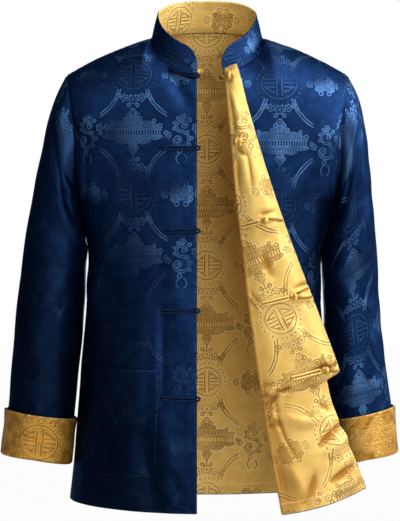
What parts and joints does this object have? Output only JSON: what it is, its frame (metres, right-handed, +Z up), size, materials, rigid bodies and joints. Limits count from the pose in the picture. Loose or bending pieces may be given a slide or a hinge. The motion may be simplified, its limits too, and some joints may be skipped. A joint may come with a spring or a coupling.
{
  "type": "tang jacket",
  "caption": "Reversible brocade jacket with a stand collar, cord closures, a patch pocket on each front, turned-up cuffs and one front folded back.",
  "frame": {"origin": "at the base of the neck: midway between the two shoulder seams' inner ends and level with them, where the wearer's shoulders carry the jacket", "axes": "+Z up, the front faces -Y, +X is the wearer's left"},
  "size_m": [0.6331, 0.2763, 0.8136],
  "materials": {
    "navy_brocade": "satin-faced brocade, deep navy with a lighter woven pattern",
    "gold_brocade": "satin-faced brocade, golden yellow with a brown-shaded woven pattern",
    "navy_cord": "stitched satin cord, dark navy",
    "gold_cord": "stitched satin cord, gold"
  },
  "bodies": {
    "root": {"back": "navy_brocade", "front_right": "navy_brocade", "front_left": "navy_brocade", "sleeve_right": "navy_brocade", "sleeve_left": "navy_brocade", "pocket_right": "navy_brocade", "pocket_left": "navy_brocade", "collar": "navy_brocade", "cuff_right": "gold_brocade", "cuff_left": "gold_brocade", "frog_right_1": "navy_cord", "frog_right_2": "navy_cord", "frog_right_3": "navy_cord", "frog_right_4": "navy_cord", "frog_right_5": "navy_cord", "strip_left_3": "gold_cord", "strip_left_4": "gold_cord", "strip_left_5": "gold_cord", "loop_left_3_1": "gold_cord", "loop_left_4_1": "gold_cord", "loop_left_4_2": "gold_cord", "loop_left_5_1": "gold_cord", "loop_left_5_2": "gold_cord", "knot_left_1": "gold_cord", "knot_left_2": "gold_cord", "knot_left_3": "gold_cord", "knot_left_4": "gold_cord", "knot_left_5": "gold_cord", "knot_left_fold": "gold_cord", "knot_right_1": "gold_cord", "knot_right_5": "gold_cord"}
  },
  "joints": []
}
